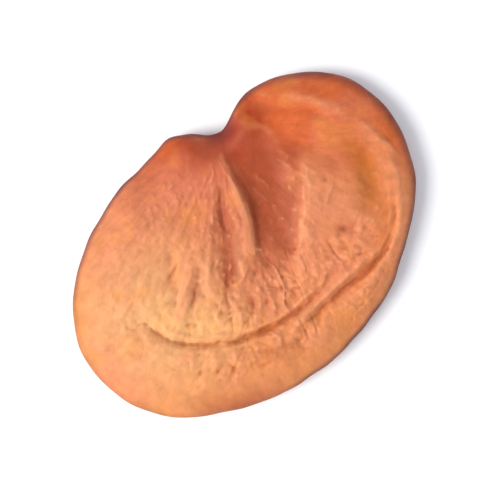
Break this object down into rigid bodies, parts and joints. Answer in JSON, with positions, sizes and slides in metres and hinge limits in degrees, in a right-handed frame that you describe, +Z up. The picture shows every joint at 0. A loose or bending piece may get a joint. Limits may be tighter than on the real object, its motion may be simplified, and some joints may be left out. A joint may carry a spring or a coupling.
{
  "type": "butea seed",
  "caption": "Flat kidney-shaped dry seed with a notched edge at the hilum, folds fanning from it and a groove inside the rim, lying on one face.",
  "frame": {"origin": "under the middle of the seed's outline, on the surface it lies on", "axes": "+X along the seed from the heel to the head, +Y towards the notched edge with the hilum, +Z up through its thickness"},
  "size_m": [0.0326, 0.0226, 0.0042],
  "materials": {
    "seed_coat": "satin orange-brown dry seed coat, redder in the folds and near the hilum"
  },
  "bodies": {
    "root": {"seed": "seed_coat"}
  },
  "joints": []
}
